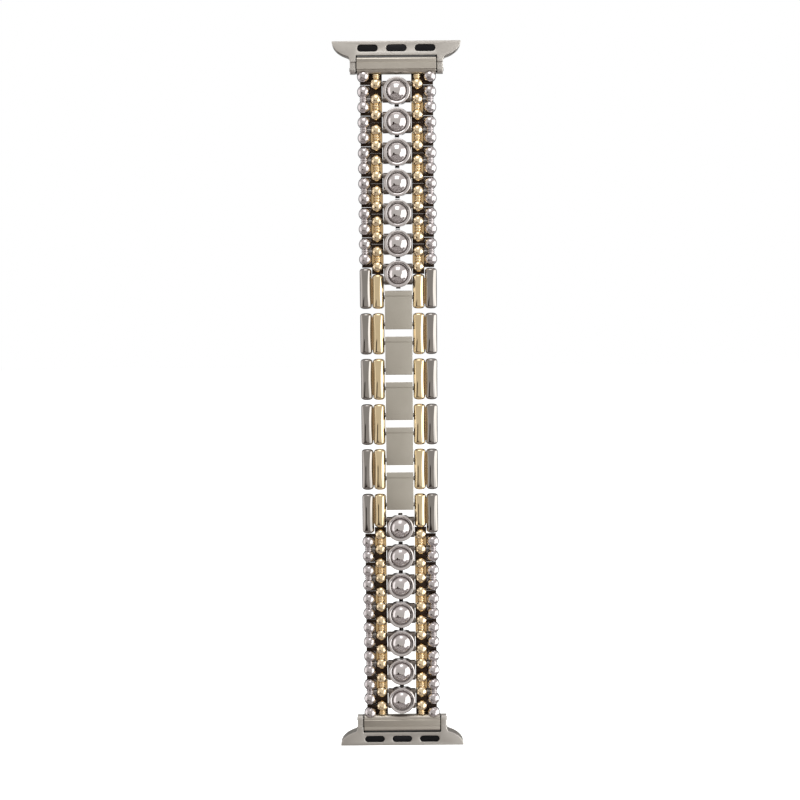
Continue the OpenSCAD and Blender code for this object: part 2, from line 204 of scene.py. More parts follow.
@dataclass(frozen=True)
class SatinSteel(Finish):
    """Rolled or pressed steel with a satin finish: fine lines across the bracelet."""

    smooth: float = 0.3
    rough: float = 0.42
    # drawn wider than the real 0.02 mm so that the grain shows
    grain_mm: float = 0.09
    grain_depth_mm: float = 0.004
    grain_squeeze: float = 0.04
    cloud_mm: float = 4.0

    def leads(self, tree: bpy.types.NodeTree, place: bpy.types.NodeSocket) -> Leads:
        """Clouds in the tint, and one stretched grain for dullness and relief.

        Args:
            tree: The material's node tree.
            place: Object coordinates.

        Returns:
            The noises.
        """
        along = add_node(tree, "ShaderNodeMapping", {"Vector": place, "Scale": (self.grain_squeeze, 1.0, 1.0)})
        grain, cloud = (
            add_node(tree, "ShaderNodeTexNoise", {"Vector": way, "Scale": per_mm(size), "Detail": detail})
            for way, size, detail in ((along.outputs["Vector"], self.grain_mm, 3.0), (place, self.cloud_mm, 2.0))
        )
        return Leads(
            cloud.outputs["Fac"], grain.outputs["Fac"], (0.3, 0.7), grain.outputs["Fac"], self.grain_depth_mm,
        )


@dataclass(frozen=True)
class MouldedBlack(Finish):
    """Moulded black rubber or plastic: dark, with a fine moulded grain that breaks up the sheen."""

    shine: float
    grain_mm: float = 0.12
    grain_depth_mm: float = 0.006

    def leads(self, tree: bpy.types.NodeTree, place: bpy.types.NodeSocket) -> Leads:
        """One grain for everything.

        Args:
            tree: The material's node tree.
            place: Object coordinates.

        Returns:
            The noises.
        """
        noise = add_node(tree, "ShaderNodeTexNoise", {"Vector": place, "Scale": per_mm(self.grain_mm), "Detail": 3.0})
        grain = noise.outputs["Fac"]
        return Leads(grain, grain, (0.0, 1.0), grain, self.grain_depth_mm)

    def trim(self, shader: bpy.types.Node) -> None:
        """Sets the sheen."""
        shader.inputs["Specular IOR Level"].default_value = self.shine


class Finishes:
    """Every finish of the bracelet, each made once."""

    # polished plating on castings: a mirror broken up by waves, so that the beads sparkle
    silver_cast = PolishedPlate(
        "rhodium_plate_cast", "polished_silver", "#D2CDCD", "#B6B1B1", rough=0.2, wave_mm=0.42,
        wave_depth_mm=0.055,
    )
    gold_cast = PolishedPlate("gold_plate_cast", "polished_gold", "#F6E6C6", "#E8CFA2", rough=0.2)
    # polished plating on drawn rods: clean long reflections
    silver_rod = PolishedPlate(
        "rhodium_plate_drawn", "polished_silver", "#A29E9B", "#949089", rough=0.07, wave_mm=2.5, wave_depth_mm=0.006,
    )
    gold_rod = PolishedPlate(
        "gold_plate_drawn", "polished_gold", "#EADAB6", "#DCC59A", rough=0.07, wave_mm=2.5, wave_depth_mm=0.006,
    )
    # polished plating on turned and pressed pieces: a round mirror with a soft ripple
    silver_turned = PolishedPlate(
        "rhodium_plate_turned", "polished_silver", "#DAD6D5", "#C8C4C3", wave_mm=0.9, wave_depth_mm=0.02,
    )
    # metal behind the polished faces: darker with painted shade, and dull enough to hold no clear reflection
    silver_shaded_side = PolishedPlate(
        "rhodium_plate_shaded_side", "polished_silver", "#8C8684", "#6A6462", smooth=0.22, rough=0.36, wave_depth_mm=0.02,
    )
    gold_shaded_side = PolishedPlate(
        "gold_plate_shaded_side", "polished_gold", "#BCA276", "#90764E", smooth=0.22, rough=0.36, wave_depth_mm=0.02,
    )
    # the bed that a pair of gold beads sinks into: as warm as the beads, so that it lights their rims
    gold_cradle = PolishedPlate(
        "gold_plate_bed", "polished_gold", "#DCC294", "#C0A070", smooth=0.16, rough=0.3, wave_depth_mm=0.03,
    )
    # painted shade on the front of a dome link's block, darker than its rear
    block = PolishedPlate(
        "rhodium_plate_shaded", "polished_silver", "#857E78", "#635C56", smooth=0.25, rough=0.4, wave_depth_mm=0.01,
    )
    # the strip between two rods: a warm painted shade at the bottom of the valley
    strip = PolishedPlate(
        "rhodium_plate_valley_shade", "polished_silver", "#C4A47A", "#A08058", smooth=0.25, rough=0.4, wave_depth_mm=0.005,
    )
    # painted shade on the casting in the recesses: dark, to stand for the shade between the rows
    recess = PolishedPlate(
        "oxidised_recess", "polished_silver", "#4E4038", "#33291F", smooth=0.55, rough=0.75, wave_depth_mm=0.02,
    )
    # satin steel, warm grey on the pressed sheets and paler on the plated connectors
    steel = SatinSteel("steel_satin_pressed", "satin_steel", "#CDC9BE", "#C3BFB3")
    folded = SatinSteel("steel_satin_folded", "satin_steel", "#C4BFB5", "#B7B2A8")
    # painted shadow on steel in the gaps round an end link: the dark line between it and its connector
    gap = SatinSteel("steel_painted_gap_shadow", "satin_steel", "#1D1A1A", "#121010")
    connector = SatinSteel("steel_satin_plated", "satin_steel", "#CBC8C2", "#C0BDB7", smooth=0.42, rough=0.55)
    # bare drawn steel: the darker glint of the pins
    pin = SatinSteel("steel_drawn_pin", "plain_steel", "#8F8D8A", "#7C7A78", smooth=0.22, rough=0.34)
    # black pads with a soft sheen, and the glossier lock button between them
    pad = MouldedBlack("rubber_moulded_black", "soft_black_pad", "#0C0C0E", "#070708", 0.35, 0.6, 0.12)
    button = MouldedBlack("plastic_moulded_gloss_black", "dark_lock_button", "#101013", "#0A0A0C", 0.12, 0.3, 0.18)

    def __init__(self) -> None:
        """Starts with no material made."""
        self.made: dict[str, bpy.types.Material] = {}

    def material(self, finish: Finish) -> bpy.types.Material:
        """Returns the material of a finish, made on first use."""
        if finish.name not in self.made:
            self.made[finish.name] = finish.make()
        return self.made[finish.name]


def arc(centre: Point, radius: float, start: float, end: float, steps: int) -> list[Point]:
    """Points along an arc.

    Args:
        centre: Centre of the arc.
        radius: Its radius.
        start: Angle of the first point in degrees, from the first axis towards the second.
        end: Angle of the last point.
        steps: Number of stretches.

    Returns:
        The points, first and last included.
    """
    angles = [math.radians(start + (end - start) * i / steps) for i in range(steps + 1)]
    return [(centre[0] + radius * math.cos(a), centre[1] + radius * math.sin(a)) for a in angles]


def bevelled(made: bmesh.types.BMesh, edges: list[bmesh.types.BMEdge], radius: float, steps: int = 3) -> None:
    """Rounds some edges.

    Args:
        made: The shell that the edges belong to.
        edges: The edges.
        radius: Radius that they get.
        steps: Number of faces across each.
    """
    bmesh.ops.bevel(
        made, geom=edges, offset=radius, segments=steps, profile=0.5, affect="EDGES",
        offset_type="OFFSET", clamp_overlap=True, material=-1,
    )


class Blank:
    """Metal being shaped: closed shells in millimetres round a piece's own centre."""

    def __init__(self) -> None:
        """Starts without a shell."""
        self.bm = bmesh.new()

    def turned(self, outline: list[Point], axis: Axis, centre: Vector, steps: int = 48) -> None:
        """Turns an outline about an axis into a closed shell.

        Args:
            outline: Radius and height of each point, from one pole to the other.
            axis: The axis that the outline turns about.
            centre: Where the outline's height is zero.
            steps: Number of faces round.
        """
        along = Vector(axis.value)
        out = Vector((1, 0, 0)) if axis is not Axis.X else Vector((0, 1, 0))
        made = bmesh.new()
        points = [made.verts.new(centre + out * abs(r) + along * h) for r, h in outline]
        edges = [made.edges.new(pair) for pair in zip(points, points[1:])]
        bmesh.ops.spin(
            made, geom=points + edges, cent=centre, axis=along, dvec=(0, 0, 0),
            angle=math.tau, steps=steps, use_merge=True, use_normal_flip=False, use_duplicate=False,
        )
        bmesh.ops.remove_doubles(made, verts=made.verts, dist=1e-4)
        bmesh.ops.recalc_face_normals(made, faces=made.faces)
        self.take(made)

    def drum(self, radius: float, half: float, axis: Axis, centre: Vector, steps: int) -> None:
        """A plain drum about an axis, as long to both sides as half."""
        self.turned([(0, -half), (radius, -half), (radius, half), (0, half)], axis, centre, steps)

    def block(self, low: Corner, high: Corner, edge: float, along: Axis | None = None, steps: int = 3) -> None:
        """A block between two corners, with its edges rounded.

        Args:
            low: Lowest corner.
            high: Highest corner.
            edge: Radius of the rounded edges.
            along: Rounds only the edges along this axis, or all of them.
            steps: Number of faces across each rounded edge.
        """
        made = bmesh.new()
        bmesh.ops.create_cube(made, size=1)
        size = [b - a for a, b in zip(low, high)]
        centre = [(a + b) / 2 for a, b in zip(low, high)]
        bmesh.ops.transform(made, matrix=Matrix.LocRotScale(centre, None, size), verts=made.verts)
        bevelled(made, [e for e in made.edges if along is None or self.runs_along(e, along)], edge, steps)
        bmesh.ops.remove_doubles(made, verts=made.verts, dist=1e-4)
        self.take(made)

    def swept(self, outline: list[Point], low: float, high: float, edge: float, axis: Axis = Axis.X) -> None:
        """An outline extruded along an axis, with its end edges rounded.

        Args:
            outline: The corners, as the two coordinates other than the axis, in order.
            low: Where the sweep starts.
            high: Where it ends.
            edge: Radius of the rounded end edges, or 0.
            axis: The direction of the sweep.
        """
        made = bmesh.new()
        spots = {
            Axis.X: lambda p: (low, p[0], p[1]), Axis.Y: lambda p: (p[0], low, p[1]),
            Axis.Z: lambda p: (p[0], p[1], low),
        }
        face = made.faces.new([made.verts.new(spots[axis](p)) for p in outline])
        pushed = bmesh.ops.extrude_face_region(made, geom=[face])["geom"]
        moved = [g for g in pushed if isinstance(g, bmesh.types.BMVert)]
        bmesh.ops.translate(made, vec=Vector(axis.value) * (high - low), verts=moved)
        bmesh.ops.recalc_face_normals(made, faces=made.faces)
        if edge > 0:
            bevelled(made, [e for e in made.edges if not self.runs_along(e, axis)], edge)
            bmesh.ops.remove_doubles(made, verts=made.verts, dist=1e-4)
        self.take(made)

    @staticmethod
    def runs_along(edge: bmesh.types.BMEdge, axis: Axis) -> bool:
        """Whether an edge runs along an axis."""
        way = (edge.verts[1].co - edge.verts[0].co).normalized()
        return abs(way.dot(Vector(axis.value))) > 0.999

    def take(self, made: bmesh.types.BMesh) -> None:
        """Adds another bmesh's shells to this blank and frees it.

        Args:
            made: The other bmesh.
        """
        spare = bpy.data.meshes.new("spare")
        made.to_mesh(spare)
        made.free()
        self.bm.from_mesh(spare)
        bpy.data.meshes.remove(spare)

    def mirrored(self) -> "Blank":
        """Adds the left side's copy of all shells.

        Returns:
            This blank.
        """
        made = self.bm.copy()
        bmesh.ops.transform(made, matrix=Matrix.Scale(-1, 4, (1, 0, 0)), verts=made.verts)
        bmesh.ops.reverse_faces(made, faces=made.faces)
        self.take(made)
        return self

    def joined(self, tool: "Blank", operation: str, edge: float = 0.0) -> "Blank":
        """Cuts, fuses or trims this blank with another.

        Args:
            tool: The other blank.
            operation: "DIFFERENCE", "UNION" or "INTERSECT".
            edge: Radius given to every sharp edge of the result, or 0.

        Returns:
            A new blank.
        """
        things = []
        for name, blank in (("work", self), ("tool", tool)):
            things.append(bpy.data.objects.new(name, blank.mesh(name, Half.UPPER, 0, 30)))
            bpy.context.collection.objects.link(things[-1])
        change = things[0].modifiers.new("join", "BOOLEAN")
        change.operation = operation
        change.solver = "EXACT"
        change.object = things[1]
        if edge > 0:
            round_off = things[0].modifiers.new("edges", "BEVEL")
            round_off.width = edge * MM
            round_off.segments = 3
            round_off.limit_method = "ANGLE"
            round_off.angle_limit = math.radians(40)
        graph = bpy.context.evaluated_depsgraph_get()
        shaped = Blank()
        shaped.bm.from_mesh(bpy.data.meshes.new_from_object(things[0].evaluated_get(graph)))
        bmesh.ops.scale(shaped.bm, vec=(1 / MM, 1 / MM, 1 / MM), verts=shaped.bm.verts)
        for thing in things:
            bpy.data.objects.remove(thing)
        return shaped

    def between(self, near: float, far: float, inner: float = 0.0, outer: float = 20.0) -> "Blank":
        """Keeps what lies between two depths and two distances from the centre line.

        Args:
            near: Depth of the front of what is kept.
            far: Depth of its rear.
            inner: Its nearest distance from the centre line.
            outer: Its farthest distance.

        Returns:
            A new blank.
        """
        slab = Blank()
        for left, right in ((inner, outer), (-outer, -inner)) if inner > 0 else ((-outer, outer),):
            slab.block((left, near, -20), (right, far, 20), 0.01)
        return self.joined(slab, "INTERSECT")

    def mesh(self, name: str, half: Half, height: float, sharp: float) -> bpy.types.Mesh:
        """Makes a mesh of the blank in its place.

        Args:
            name: Name of the mesh.
            half: The lower half is turned over end for end.
            height: Height of the piece's centre in millimetres.
            sharp: Angle in degrees past which an edge is drawn sharp.

        Returns:
            The mesh, in metres.
        """
        made = self.bm.copy()
        if half is Half.LOWER:
            bmesh.ops.transform(made, matrix=Matrix.Scale(-1, 4, (0, 0, 1)), verts=made.verts)
            bmesh.ops.reverse_faces(made, faces=made.faces)
        bmesh.ops.translate(made, vec=(0, 0, height), verts=made.verts)
        bmesh.ops.scale(made, vec=(MM, MM, MM), verts=made.verts)
        for face in made.faces:
            face.smooth = True
        mesh = bpy.data.meshes.new(name)
        made.to_mesh(mesh)
        made.free()
        mesh.set_sharp_from_angle(angle=math.radians(sharp))
        return mesh


Parts = tuple[tuple[str, Blank, Finish], ...]


@dataclass
class Bench:
    """Where finished pieces are dressed and set on their bodies."""

    finishes: Finishes = field(default_factory=Finishes)
    count: int = 0

    def set_piece(
        self, name: str, blank: Blank, finish: Finish, body: str,
        node: str, half: Half, height: float, sharp: float = 35,
    ) -> None:
        """Makes one piece of a blank and sets it on its body.

        Args:
            name: Name of the piece.
            blank: Its shape.
            finish: Its finish.
            body: The body that it rides on.
            node: The solid that it stands for.
            half: Which way up it is.
            height: Height of its centre in millimetres.
            sharp: Angle in degrees past which an edge is drawn sharp.
        """
        piece = bpy.data.objects.new(name, blank.mesh(name, half, height, sharp))
        bpy.context.collection.objects.link(piece)
        piece.data.materials.append(self.finishes.material(finish))
        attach(piece, body)
        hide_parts(node)
        self.count += 1
        LOG.info("piece %s on %s: %d faces", name, body, len(piece.data.polygons))

    def set_parts(self, node: str, parts: Parts, half: Half, height: float, sharp: float = 35) -> None:
        """Sets every part of a solid that has its body to itself.

        Args:
            node: The solid, and the body that it rides on.
            parts: Name, shape and finish of each part.
            half: Which way up they are.
            height: Height of their common centre in millimetres.
            sharp: Angle in degrees past which an edge is drawn sharp.
        """
        for part, blank, finish in parts:
            self.set_piece(f"{node}_{part}", blank, finish, node, node, half, height, sharp)

    def dress_node(self, node: str, finish: Finish) -> None:
        """Gives a solid that stays as it is its finish.

        Args:
            node: The solid.
            finish: Its finish.
        """
        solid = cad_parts[node]
        solid.data.materials.clear()
        solid.data.materials.append(self.finishes.material(finish))
        LOG.info("solid %s keeps its shape", node)


def numbered(base: str) -> list[str]:
    """Names of the solids that start with base, from the first to the last."""
    return sorted(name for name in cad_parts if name.startswith(base))


def height_of(node: str) -> float:
    """Height in millimetres of the middle of a solid."""
    low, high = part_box(node)
    return (low.z + high.z) / 2 / MM


@dataclass
class Pins:
    """Link pins, each with its height and how far it reaches to both sides."""

    places: tuple[Point, ...]
    radius: float = 0.5
    chamfer: float = 0.08

    def blank(self) -> Blank:
        """Drawn pins with broken edges.

        Returns:
            The blank.
        """
        made = Blank()
        for height, reach in self.places:
            tip = [(0, reach), (self.radius - self.chamfer, reach), (self.radius, reach - self.chamfer)]
            outline = [(r, -h) for r, h in tip] + list(reversed(tip))
            made.turned(outline, Axis.X, Vector((0, 0, height)), 24)
        return made


@dataclass
class Columns:
    """Where the gold and silver columns stand, and the sizes that all rows share."""

    gold_x: float = 5.1
    silver_x: float = 8.2
    gold_r: float = 1.52
    silver_r: float = 1.595
    spacing: float = 3.75
    pin_z: float = 1.875
    pin_reach: float = 6.225
    back_front: float = 0.55
    back_rear: float = 1.4
    back_r: float = 1.86
    foot_r: float = 0.2
    # depth and height of the foot's rear slope
    foot_slope: tuple[Point, ...] = ((0.26, -0.145), (0.59, -0.065), (0.9, 0.035), (1.4, 0.085))
    gold_edges: Point = (3.66, 6.59)
    silver_edges: Point = (6.6, 9.05)
    plain_rear: float = 1.05

    def back_end(self, pin: float) -> list[Point]:
        """The round end of a gold backing over a pin, from its lip to its rear face."""
        last = math.degrees(math.acos(self.back_rear / self.back_r))
        return arc((0, pin), self.back_r, 90, last, 10)

    def silver_foot(self) -> list[Point]:
        """The low end of a silver backing round a pin at z = 0, which clears the row below."""
        return [
            (self.back_front, self.back_front), (0, self.back_front), *arc((0, 0), self.foot_r, 90, 270, 8),
            *self.foot_slope,
        ]


@dataclass
class Assembly:
    """A sub-assembly: the bench where its pieces are set, and the columns that it keeps to."""

    bench: Bench
    columns: Columns = field(default_factory=Columns)

    @staticmethod
    def turned_pair(outline: list[Point], x: float, z: float = 0.0) -> Blank:
        """An outline turned about an upright axis on both sides.

        Args:
            outline: Radius and height of each point, from one pole to the other.
            x: Distance of the axis from the bracelet's centre line.
            z: Where the outline's height is zero.

        Returns:
            The blank.
        """
        made = Blank()
        made.turned(outline, Axis.Z, Vector((x, 0, z)))
        return made.mirrored()


@dataclass
class BeadRow(Assembly):
    """A beaded row: gold and silver bead pairs on recessed backings, dark with painted shade."""

    neck_r: float = 0.75
    ring_r: float = 1.0
    ring_w: float = 0.28
    ring_gap: float = 0.02
    neck_rise: float = 0.05
    lip_z: float = 2.6
    top_reach: float = 3.47
    silver_reach: float = 8.5
    solid_back_r: float = 1.8
    cradle_front: float = 0.1
    cradle_over: float = 1.38
    gold_cradle_half: float = 1.42
    silver_cradle_half: float = 1.18
    silver_cradle_in: float = 0.35
    ring_z: float = 0.23
    cradle_corner: float = 0.6
    top_lip: float = 0.3
    backing_edge: float = 0.03

    def pair_outline(self, radius: float) -> list[Point]:
        """Outline of two beads with a ringed neck, from the lower pole to the upper one.

        Args:
            radius: Radius of the beads.

        Returns:
            Radius and height of each point.
        """
        half = self.columns.spacing / 2
        tuck = math.degrees(math.asin(self.neck_r / radius))
        lower = arc((0, -half), radius, -90, 90 - tuck, 22)
        first, second = (
            arc((self.ring_r - self.ring_w / 2, middle), self.ring_w / 2, -90, 90, 6)
            for middle in (-self.ring_z, self.ring_z)
        )
        valley = [(self.neck_r, first[0][1] - self.ring_gap), *first, (self.neck_r + self.neck_rise, 0.0),
                  *second, (self.neck_r, second[-1][1] + self.ring_gap)]
        upper = arc((0, half), radius, -90 + tuck, 90, 22)
        return lower + valley + upper

    def backing(self) -> Blank:
        """The cast plates behind the beads of both sides, each with lips that shade the gaps.

        Returns:
            The blank.
        """
        c = self.columns
        made = Blank()
        upper = [(c.back_front, self.lip_z), (0, self.lip_z), *c.back_end(c.pin_z)]
        lower = [(y, -z) for y, z in reversed(upper)]
        made.swept(upper + lower, *c.gold_edges, self.backing_edge)
        foot = [(y, z - c.pin_z) for y, z in c.silver_foot()]
        last = math.degrees(math.acos(c.back_rear / self.top_reach))
        top = arc((0, c.pin_z), self.top_reach, last, 90, 6)
        lip = top[-1][1] - self.top_lip
        made.swept([*foot, *top, (0, lip), (c.back_front, lip)], *c.silver_edges, self.backing_edge)
        return made.mirrored()

    def cradle(self, x: float, middle: float, half: float) -> Blank:
        """The cast metal that both beads of a pair sink into, on both sides.

        Args:
            x: Distance of its middle from the bracelet's centre line.
            middle: Height of the pair's neck.
            half: Half of its width.

        Returns:
            The blank.
        """
        made = Blank()
        reach = self.columns.spacing / 2 + self.cradle_over
        low, high = (x - half, self.cradle_front, middle - reach), (x + half, self.columns.back_front, middle + reach)
        made.block(low, high, self.cradle_corner, Axis.Y, 5)
        return made.mirrored()

    def build(self) -> None:
        """Builds every beaded row, from the top down."""
        c = self.columns
        gold = self.turned_pair(self.pair_outline(c.gold_r), c.gold_x)
        silver = self.turned_pair(self.pair_outline(c.silver_r), c.silver_x, c.spacing / 2)
        pins = Pins(((-c.pin_z, c.pin_reach), (c.pin_z, self.silver_reach))).blank()
        backing, rear, seam = self.backing(), c.plain_rear, (c.gold_edges[1] + c.silver_edges[0]) / 2
        gold_cradle = self.cradle(c.gold_x, 0, self.gold_cradle_half)
        silver_cradle = self.cradle(c.silver_x - self.silver_cradle_in, c.spacing / 2, self.silver_cradle_half)
        # the backing's front carries painted shade; its rears and the silver cradle a lighter painted shade
        parts = (
            ("silver_beads", silver, Finishes.silver_cast), ("gold_beads", gold, Finishes.gold_cast),
            ("gold_cradle", gold_cradle, Finishes.gold_cradle), ("silver_cradle", silver_cradle, Finishes.silver_shaded_side),
            ("recess", backing.between(-3, rear), Finishes.recess), ("pins", pins, Finishes.pin),
            ("gold_rear", backing.between(rear, 3, 1, seam), Finishes.gold_shaded_side),
            ("silver_rear", backing.between(rear, 3, seam), Finishes.silver_shaded_side),
        )
        nodes = numbered("bead_row_")
        for i, node in enumerate(nodes):
            half = Half.UPPER if i < len(nodes) / 2 else Half.LOWER
            # the solid's gold casting ends a known reach beyond the row's centre
            low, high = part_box(node)
            reach = c.pin_z + self.solid_back_r
            height = low.z / MM + reach if half is Half.UPPER else high.z / MM - reach
            self.bench.set_parts(node, parts, half, height)


@dataclass
class DomeLink(Assembly):
    """A domed centre link: a turned bezel on its block, with a polished dome."""

    bezel_r: float = 3.35
    rim: float = 0.72
    rim_edge: float = 0.24
    front: float = 2.25
    seat: float = 1.55
    rise: float = 1.75
    block_w: float = 7.04
    cheek_z: float = 1.6
    block_r: float = 1.2
    lug_r: float = 0.78
    nose_r: float = 1.78
    nose_w: float = 1.1
    pin_z: float = 1.875
    bore_r: float = 0.55
    plain_rear: float = 0.2
    base: float = 0.95
    base_edge: float = 0.3
    base_rise: float = 0.25
    line: float = 1.68
    line_half: float = 0.06
    line_depth: float = 0.07
    block_under: float = 0.35
    block_in: float = 0.06
    cheek_half: float = 0.6
    nose_front: float = -1.4
    nose_rear: float = 1.2
    dome_lift: float = 0.02
    dome_play: float = 0.05

    def bezel(self) -> Blank:
        """The bezel with its rounded rim and a turned line below it.

        Returns:
            The blank.
        """
        made = Blank()
        inner = self.bezel_r - self.rim
        rim_r = self.rim / 2
        rim = arc((self.bezel_r - self.rim_edge, self.front - self.rim_edge), self.rim_edge, 0, 80, 5)
        rim += [(self.bezel_r - rim_r, self.front)]
        rim += arc((inner + self.rim_edge / 2, self.front - self.rim_edge), self.rim_edge / 2, 90, 180, 4)
        outline = [
            (0, self.base), (self.bezel_r - self.base_edge, self.base), (self.bezel_r, self.base + self.base_rise),
            (self.bezel_r, self.line - self.line_half), (self.bezel_r - self.line_depth, self.line),
            (self.bezel_r, self.line + self.line_half), *rim, (inner, self.seat), (0, self.seat),
        ]
        made.turned([(r, -h) for r, h in outline], Axis.Y, Vector((0, 0, 0)), 64)
        return made

    def block(self) -> Blank:
        """The block under the bezel: trimmed round, with a bored lug about each pin.

        Returns:
            The blank.
        """
        bar = Blank()
        top = self.seat - self.block_under
        ends = arc((0, self.pin_z), self.block_r, 0, 180, 14)
        outline = [*ends, (-top, self.pin_z), (-top, -self.pin_z), *[(y, -z) for y, z in reversed(ends)]]
        half = self.block_w / 2
        bar.swept(outline, -half, half, 0.0)
        disc, cheeks, lugs, noses, bores = Blank(), Blank(), Blank(), Blank(), Blank()
        disc.drum(self.bezel_r - self.block_in, 2, Axis.Y, Vector((0, 0, 0)), 64)
        cheeks.block((-half, -self.cheek_half, -self.cheek_z), (half, self.cheek_half, self.cheek_z), 0.1)
        for height in (-self.pin_z, self.pin_z):
            centre = Vector((0, 0, height))
            lugs.drum(self.lug_r, half, Axis.X, centre, 32)
            noses.drum(self.nose_r, self.nose_w / 2, Axis.X, centre, 48)
            bores.drum(self.bore_r, 5, Axis.X, centre, 32)
        slab = Blank()
        slab.block((-1, self.nose_front, -4), (1, self.nose_rear, 4), 0.1)
        trimmed = bar.joined(disc, "INTERSECT").joined(cheeks, "UNION").joined(lugs, "UNION")
        return trimmed.joined(noses.joined(slab, "INTERSECT"), "UNION").joined(bores, "DIFFERENCE", 0.05)

    def dome(self) -> Blank:
        """The polished dome, a shallow cap on a short foot.

        Returns:
            The blank.
        """
        made = Blank()
        foot = self.bezel_r - self.rim - self.dome_play
        radius = (foot * foot + self.rise * self.rise) / (2 * self.rise)
        spread = math.degrees(math.asin(foot / radius))
        cap = arc((0, self.rise - radius), radius, 90 - spread, 90, 20)
        outline = [(0, 0), (foot, 0), *cap]
        made.turned([(r, -h - self.seat - self.dome_lift) for r, h in outline], Axis.Y, Vector((0, 0, 0)), 64)
        return made

    def build(self) -> None:
        """Builds every domed link, from the top down."""
        block = self.block()
        # the block's front carries painted shade, its rear a lighter painted shade
        parts = (
            ("bezel", self.bezel(), Finishes.silver_turned), ("dome", self.dome(), Finishes.silver_turned),
            ("block", block.between(-3, self.plain_rear), Finishes.block),
            ("block_rear", block.between(self.plain_rear, 3), Finishes.silver_shaded_side),
        )
        for node in numbered("dome_link_"):
            self.bench.set_parts(node, parts, Half.UPPER, height_of(node))


@dataclass
class RodRow(Assembly):
    """A rod row: silver and gold rods side by side on two pins, with a strip behind them."""

    radius: float = 1.5
    length: float = 10.1
    spare: float = 0.2
    turn_silver: float = 5.0
    crown_r: float = 36.0
    strip_front: float = -0.5
    strip_rear: float = 0.9
    end: float = 0.95
    end_power: float = 2.6
    pin_low: float = -2.35
    pin_high: float = 2.35
    turn_pin: float = 1.575
    turn_top: float = 3.475
    reach: float = 7.9
    strip_short: float = 1.0
    strip_fit: float = 0.01
    strip_edge: float = 0.04

    def rod(self, made: Blank, x: float, low: float, high: float) -> None:
        """Adds a rod with blunt round ends at x, whose front is crowned like a barrel.

        Args:
            made: The blank that gets the rod.
            x: Distance of its axis from the bracelet's centre line.
            low: Height of its lower end.
            high: Height of its upper end.
        """
        middle, half = (low + high) / 2, (high - low) / 2
        start = half - self.end
        curve = [(h, 1.0) for h in (start * i / 8 for i in range(8))]
        for i in range(15):
            turn = math.radians(90 * i / 14)
            power = 2 / self.end_power
            curve.append((start + self.end * math.sin(turn) ** power, max(math.cos(turn), 0.0) ** power))
        side = [(share * self.radius, h) for h, share in curve]
        side[-1] = (0.0, half)
        outline = [(r, -h) for r, h in reversed(side[1:])] + side
        rod = Blank()
        rod.turned(outline, Axis.Z, Vector((x, 0, 0)))
        for vert in rod.bm.verts:
            front = max(-vert.co.y / self.radius, 0.0)
            vert.co.y *= 1 - front * vert.co.z ** 2 / (2 * self.crown_r * self.radius)
            vert.co.z += middle
        made.take(rod.bm)

    def pair(self, x: float, top: float) -> Blank:
        """The rods at x on both sides, up to a height.

        Args:
            x: Distance of their axes from the bracelet's centre line.
            top: Height of their upper ends.

        Returns:
            The blank.
        """
        made = Blank()
        self.rod(made, x, -self.length / 2 - self.spare, top)
        return made.mirrored()

    def strips(self, top: float, near: float, far: float) -> Blank:
        """The strips in the valleys behind the rods of both sides, from one depth to another.

        Args:
            top: Height of the gold rods' upper ends.
            near: Depth of the strips' front.
            far: Depth of their rear.

        Returns:
            The blank.
        """
        c = self.columns
        made = Blank()
        depths = [near + (far - near) * i / 8 for i in range(9)]
        hollow = [(math.sqrt((self.radius + self.strip_fit) ** 2 - y * y), y) for y in depths]
        outline = [(c.gold_x + x, y) for x, y in hollow] + [(c.silver_x - x, y) for x, y in reversed(hollow)]
        made.swept(outline, -self.length / 2 + self.strip_short, top - self.strip_short, self.strip_edge, Axis.Z)
        return made.mirrored()

    def build(self) -> None:
        """Builds every rod row, from the top down."""
        c, inner_end = self.columns, self.length / 2 + self.spare
        shapes: dict[bool, tuple[Parts, Blank]] = {}
        ends = ((True, self.turn_silver, self.turn_top, self.turn_pin),
                (False, inner_end, inner_end, self.pin_high))
        for turn, silver_top, gold_top, pin in ends:
            pins = Pins(((self.pin_low, self.reach), (pin, self.reach))).blank()
            silver = self.pair(c.silver_x, silver_top)
            # the strips carry a warm painted shade, their rear parts a grey painted shade
            shapes[turn] = (
                ("silver_rods", silver, Finishes.silver_rod), ("pins", pins, Finishes.pin),
                ("strips", self.strips(gold_top, self.strip_front, self.strip_rear), Finishes.strip),
                ("rear_strips", self.strips(gold_top, self.strip_rear, c.back_rear), Finishes.silver_shaded_side),
            ), self.pair(c.gold_x, gold_top)
        rows = numbered("rod_row_")
        for i, (row, gold) in enumerate(zip(rows, numbered("gold_rods_"))):
            parts, gold_blank = shapes[i in (0, len(rows) - 1)]
            half = Half.LOWER if i == len(rows) - 1 else Half.UPPER
            height = height_of(row)
            self.bench.set_parts(row, parts, half, height)
            self.bench.set_piece(f"{gold}_pair", gold_blank, Finishes.gold_rod, row, gold, half, height)


